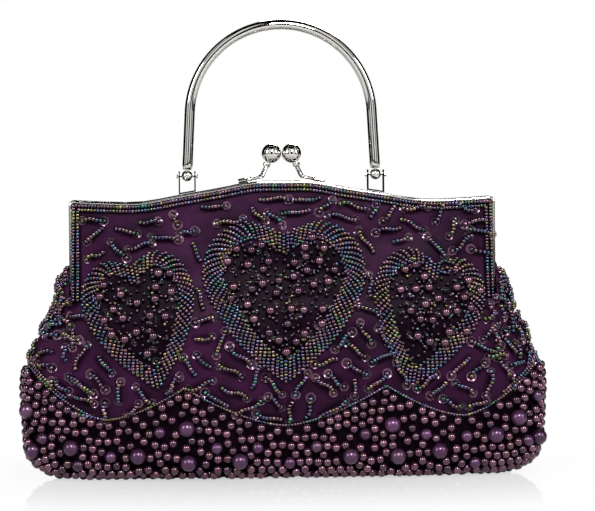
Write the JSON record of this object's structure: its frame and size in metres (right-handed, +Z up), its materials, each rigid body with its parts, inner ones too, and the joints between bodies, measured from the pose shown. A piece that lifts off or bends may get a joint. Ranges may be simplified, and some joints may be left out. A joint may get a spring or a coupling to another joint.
{
  "type": "beaded handbag",
  "caption": "Evening handbag of purple satin with beaded hearts and a pearl-covered base, a snap frame that opens on leg hinges, and an arched metal handle.",
  "frame": {"origin": "centre of the bag's footprint on the plane it stands on", "axes": "+X along the bag's width, towards its right as seen from the front; +Z up; the front faces -Y"},
  "size_m": [0.2794, 0.0642, 0.2414],
  "materials": {
    "purple_satin": "deep purple satin",
    "black_lining": "smooth black lining cloth",
    "iris_seed_beads": "dark iris-coated glass seed beads, opaque",
    "plum_glass_pearls": "plum pearl-coated glass, opaque",
    "polished_nickel": "polished nickel plate",
    "grey_card": "stiff board, not seen in use"
  },
  "bodies": {
    "sack": {"front_sack_panel": "purple_satin", "front_sack_lining": "black_lining", "front_scallop_strand": "iris_seed_beads", "front_pearl_band": "plum_glass_pearls", "back_sack_panel": "purple_satin", "back_sack_lining": "black_lining", "back_scallop_strand": "iris_seed_beads", "back_pearl_band": "plum_glass_pearls", "front_heart_point_left": "iris_seed_beads", "front_heart_point_middle": "iris_seed_beads", "front_heart_point_right": "iris_seed_beads", "back_heart_point_left": "iris_seed_beads", "back_heart_point_middle": "iris_seed_beads", "back_heart_point_right": "iris_seed_beads", "base_board": "grey_card", "slip_pocket": "black_lining", "hinge_rivet_left": "polished_nickel", "hinge_rivet_right": "polished_nickel"},
    "front_half": {"front_frame": "polished_nickel", "front_clasp_arm": "polished_nickel", "front_clasp_ball": "polished_nickel", "front_upper_panel": "purple_satin", "front_upper_lining": "black_lining", "front_border_strands": "iris_seed_beads", "front_heart_top_left": "iris_seed_beads", "front_heart_top_middle": "iris_seed_beads", "front_heart_top_right": "iris_seed_beads"},
    "back_half": {"back_frame": "polished_nickel", "back_clasp_arm": "polished_nickel", "back_clasp_ball": "polished_nickel", "back_upper_panel": "purple_satin", "back_upper_lining": "black_lining", "back_border_strands": "iris_seed_beads", "back_heart_top_left": "iris_seed_beads", "back_heart_top_middle": "iris_seed_beads", "back_heart_top_right": "iris_seed_beads", "handle_bracket_left": "polished_nickel", "handle_bracket_right": "polished_nickel"},
    "handle": {"handle_tube": "polished_nickel", "handle_ball_left": "polished_nickel", "handle_ball_right": "polished_nickel", "handle_pin_left": "polished_nickel", "handle_pin_right": "polished_nickel"}
  },
  "joints": [
    {"name": "back_half_hinge", "type": "hinge", "parent": "sack", "child": "back_half", "pos_m": [0, 0, 0.094], "axis": [-1, 0, 0], "range_deg": [0, 35]},
    {"name": "front_half_hinge", "type": "hinge", "parent": "sack", "child": "front_half", "pos_m": [0, 0, 0.094], "axis": [1, 0, 0], "range_deg": [0, 35]},
    {"name": "handle_hinge", "type": "hinge", "parent": "back_half", "child": "handle", "pos_m": [0, 0.00335, 0.15902], "axis": [1, 0, 0], "range_deg": [-135, 100]}
  ],
  "couplings": [
    {"joint": "front_half_hinge", "follows": "back_half_hinge", "ratio": 1}
  ]
}
